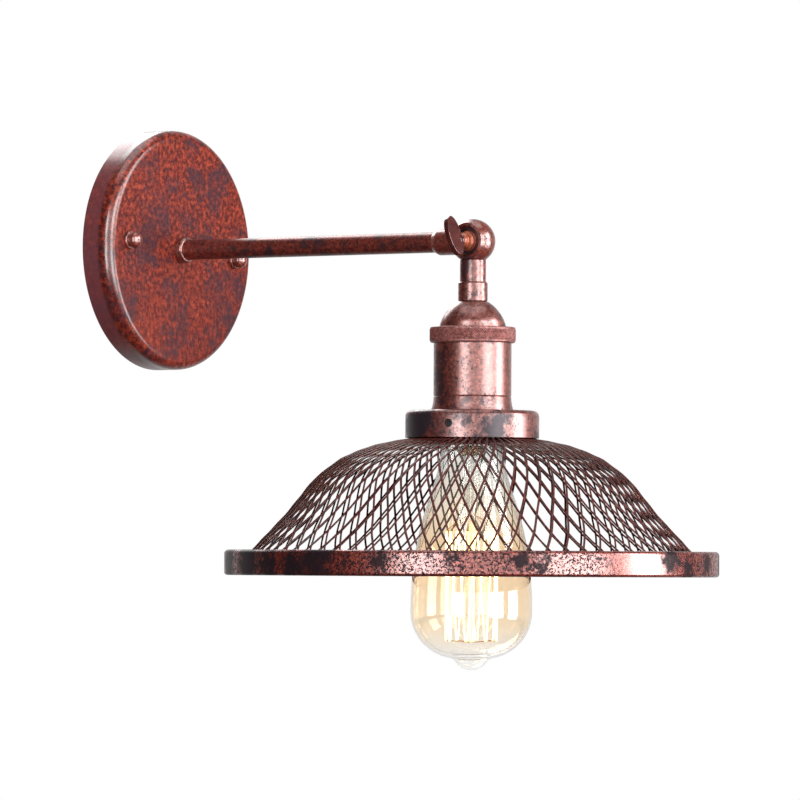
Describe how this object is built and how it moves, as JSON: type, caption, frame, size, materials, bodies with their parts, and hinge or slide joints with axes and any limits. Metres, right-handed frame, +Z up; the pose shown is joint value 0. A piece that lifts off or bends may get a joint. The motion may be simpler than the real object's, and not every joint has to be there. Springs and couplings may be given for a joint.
{
  "type": "wall light",
  "caption": "Wall light with a round canopy, straight arm, clamped ball swivel and a wire-lattice cage shade over a filament bulb.",
  "frame": {"origin": "on the wall, at the centre of the canopy's back, midway between the strap's wall holes", "axes": "+Z up, +Y into the wall, so the light stands out along -Y; +X to the right seen from the room facing the wall"},
  "size_m": [0.24, 0.313, 0.268],
  "materials": {
    "aged_copper": "antique copper-red paint over steel, rubbed with near-black, satin",
    "mesh_finish": "the same aged finish, darker, on wire",
    "zinc_steel": "zinc plated, satin",
    "brass": "plain brass",
    "ceramic": "white glaze",
    "amber_glass": "thin amber-tinted blown glass",
    "clear_glass": "clear drawn glass",
    "bulb_brass": "thin rolled brass",
    "black_glass": "black glass, glossy",
    "solder": "soft solder",
    "filament": "carbon filament, lit",
    "support_wire": "molybdenum wire"
  },
  "bodies": {
    "root": {"canopy": "aged_copper", "mounting_strap": "zinc_steel", "ground_screw": "brass", "canopy_studs": "zinc_steel", "cap_nuts": "aged_copper", "arm_flange": "aged_copper", "arm_tube": "aged_copper", "arm_washer": "zinc_steel", "arm_locknut": "zinc_steel", "knuckle_arm_half": "aged_copper"},
    "lamp_head": {"knuckle_lamp_half": "aged_copper", "neck_sleeve": "aged_copper", "threaded_nipple": "zinc_steel", "cap_locknut": "zinc_steel", "dome_cap": "aged_copper", "knurled_ring": "aged_copper", "socket_shell": "aged_copper", "lamp_holder": "ceramic", "screw_shell": "brass", "centre_contact": "brass", "terminal_screws": "zinc_steel", "shade_ring": "zinc_steel", "shade_gallery": "aged_copper", "gallery_grub_screws": "zinc_steel", "mesh_outer_strands": "mesh_finish", "mesh_inner_strands": "mesh_finish", "mesh_top_band": "mesh_finish", "shade_rim": "aged_copper", "rim_flange": "aged_copper", "bulb_glass": "amber_glass", "bulb_screw_base": "bulb_brass", "bulb_insulator": "black_glass", "bulb_contact": "solder", "bulb_stem": "clear_glass", "bulb_filament": "filament", "filament_supports": "support_wire"},
    "screw_washer": {"clamp_washer": "aged_copper"},
    "clamp_screw": {"thumb_screw": "aged_copper"}
  },
  "joints": [
    {"name": "head_tilt", "type": "hinge", "parent": "root", "child": "lamp_head", "pos_m": [0, -0.193, 0], "axis": [-1, 0, 0], "range_deg": [-15, 195]},
    {"name": "screw_travel", "type": "slide", "parent": "lamp_head", "child": "screw_washer", "axis": [-1, 0, 0], "range_m": [0, 0.0016]},
    {"name": "screw_turn", "type": "hinge", "parent": "screw_washer", "child": "clamp_screw", "pos_m": [0, -0.193, 0], "axis": [-1, 0, 0], "range_deg": [0, 720]}
  ],
  "couplings": [
    {"joint": "screw_travel", "follows": "screw_turn", "m_per_rad": 0.00012732}
  ]
}
